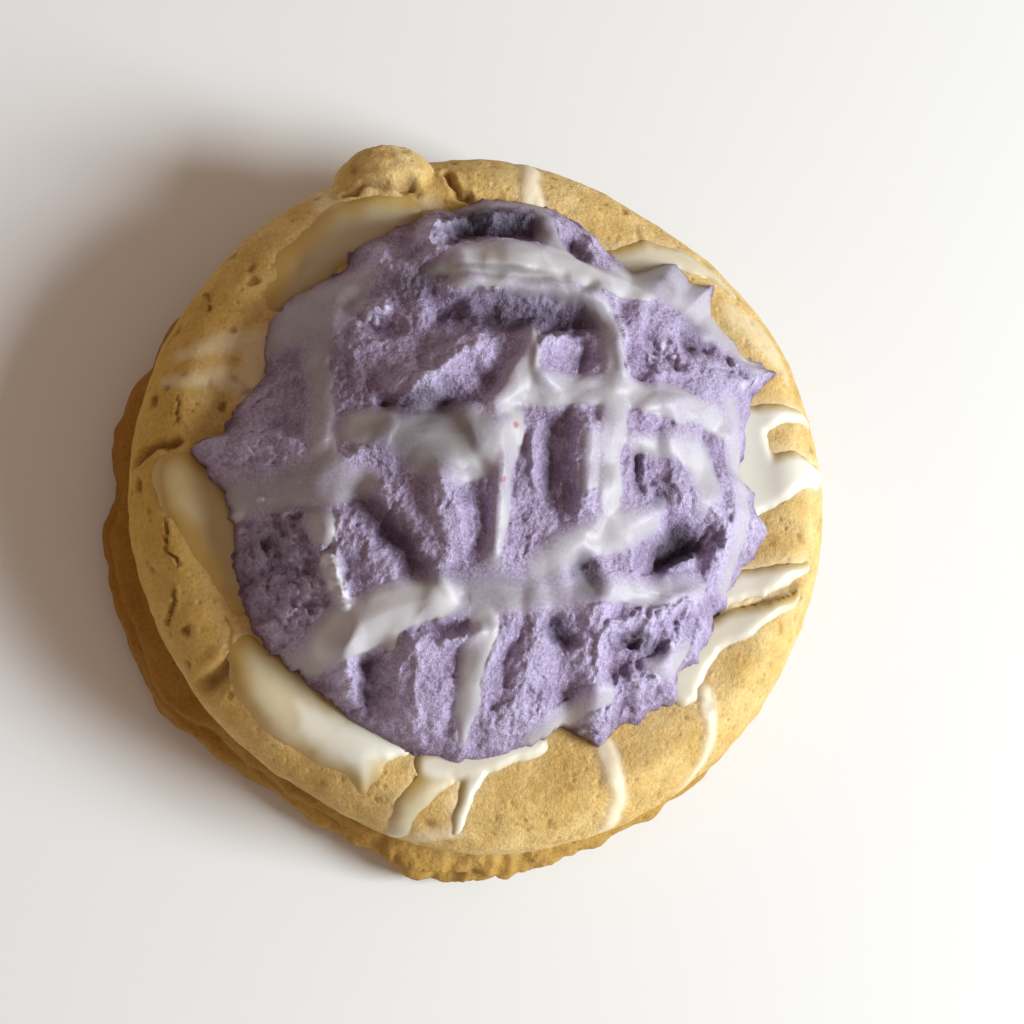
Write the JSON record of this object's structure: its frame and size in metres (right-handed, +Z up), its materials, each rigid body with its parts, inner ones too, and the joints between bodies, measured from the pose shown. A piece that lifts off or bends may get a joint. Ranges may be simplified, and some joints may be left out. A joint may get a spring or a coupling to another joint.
{
  "type": "iced sugar cookie",
  "caption": "Thick round sugar cookie with a torn scoop of buttercream on top and thin glaze drizzled over both.",
  "frame": {"origin": "middle of the cookie's flat underside, on the surface it rests on", "axes": "+Z up, out of the frosted top. +X and +Y lie along the table: seen from above with +X to the right, +Y is away from the viewer"},
  "size_m": [0.1086, 0.108, 0.0466],
  "materials": {
    "cookie_crumb": "matt",
    "buttercream": "matt"
  },
  "bodies": {
    "root": {"cookie": "cookie_crumb", "frosting": "buttercream"}
  },
  "joints": []
}
